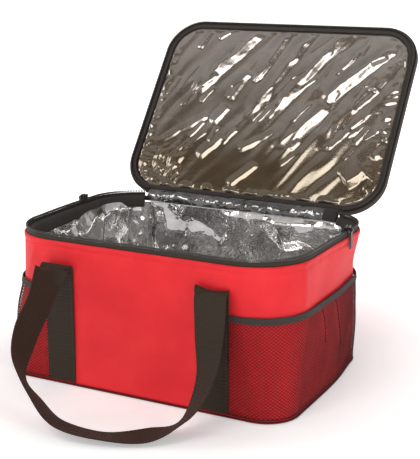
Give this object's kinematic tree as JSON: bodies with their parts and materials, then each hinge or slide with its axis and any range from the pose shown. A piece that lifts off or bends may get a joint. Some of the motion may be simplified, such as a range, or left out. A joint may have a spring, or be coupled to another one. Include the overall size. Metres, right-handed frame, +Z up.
{
  "type": "insulated cooler bag",
  "caption": "Soft rectangular insulated cooler bag with a hinged zip lid, foil lining, webbing carry handles and net end pockets.",
  "frame": {"origin": "middle of the flat base, on the surface that the bag stands on", "axes": "+X along the bag's length, +Y to its back where the lid is hinged, +Z up"},
  "size_m": [0.3794, 0.5608, 0.3891],
  "materials": {
    "red_cloth": "plain woven nylon with a soft sheen",
    "black_binding": "folded black binding tape",
    "black_webbing": "ribbed black webbing, matt",
    "black_net": "fine knitted net",
    "silver_foil": "crinkled metallised film, glossy",
    "foam": "closed-cell foam",
    "stiffener_board": "pressed board",
    "zip_teeth": "nylon coil, satin",
    "slider_metal": "black coated metal"
  },
  "bodies": {
    "bag": {"wall_shell": "red_cloth", "base_shell": "red_cloth", "base_piping": "red_cloth", "base_board": "stiffener_board", "base_insulation": "foam", "wall_insulation": "foam", "wall_liner": "silver_foil", "floor_liner": "silver_foil", "body_zip_tape": "black_binding", "body_zip_teeth": "zip_teeth", "rim_facing": "black_binding", "left_end_stop": "slider_metal", "right_end_stop": "slider_metal", "left_pocket_net": "black_net", "right_pocket_net": "black_net", "left_pocket_binding": "black_binding", "right_pocket_binding": "black_binding", "front_left_column": "black_webbing", "front_right_column": "black_webbing", "rear_left_column": "black_webbing", "rear_right_column": "black_webbing", "hinge_strip": "black_binding", "hinge_liner": "silver_foil"},
    "lid": {"lid_cover": "red_cloth", "lid_insulation": "foam", "lid_liner": "silver_foil", "lid_binding": "black_binding", "lid_piping": "black_binding", "lid_zip_tape": "black_binding", "lid_zip_teeth": "zip_teeth"},
    "front_handle": {"front_handle": "black_webbing"},
    "rear_handle": {"rear_handle": "black_webbing"},
    "left_slider": {"left_slider": "slider_metal"},
    "right_slider": {"right_slider": "slider_metal"},
    "left_pull": {"left_pull": "slider_metal"},
    "right_pull": {"right_pull": "slider_metal"}
  },
  "joints": [
    {"name": "lid_hinge", "type": "hinge", "parent": "bag", "child": "lid", "pos_m": [0, 0.132, 0.177], "axis": [1, 0, 0], "range_deg": [-9, 126], "deforming": ["hinge_strip", "hinge_liner"]},
    {"name": "front_handle_swing", "type": "hinge", "parent": "bag", "child": "front_handle", "pos_m": [0, -0.13931, 0.136], "axis": [1, 0, 0], "range_deg": [-100, 0]},
    {"name": "rear_handle_swing", "type": "hinge", "parent": "bag", "child": "rear_handle", "pos_m": [0, 0.13931, 0.136], "axis": [1, 0, 0], "range_deg": [0, 75]},
    {"name": "left_slider_run", "type": "slide", "parent": "bag", "child": "left_slider", "axis": [0, -1, 0], "range_m": [0, 0.1]},
    {"name": "right_slider_run", "type": "slide", "parent": "bag", "child": "right_slider", "axis": [0, -1, 0], "range_m": [0, 0.1]},
    {"name": "left_pull_swing", "type": "hinge", "parent": "left_slider", "child": "left_pull", "pos_m": [-0.18305, 0.042, 0.177], "axis": [0, 1, 0], "range_deg": [0, 110]},
    {"name": "right_pull_swing", "type": "hinge", "parent": "right_slider", "child": "right_pull", "pos_m": [0.18305, 0.042, 0.177], "axis": [0, 1, 0], "range_deg": [-110, 0]}
  ]
}
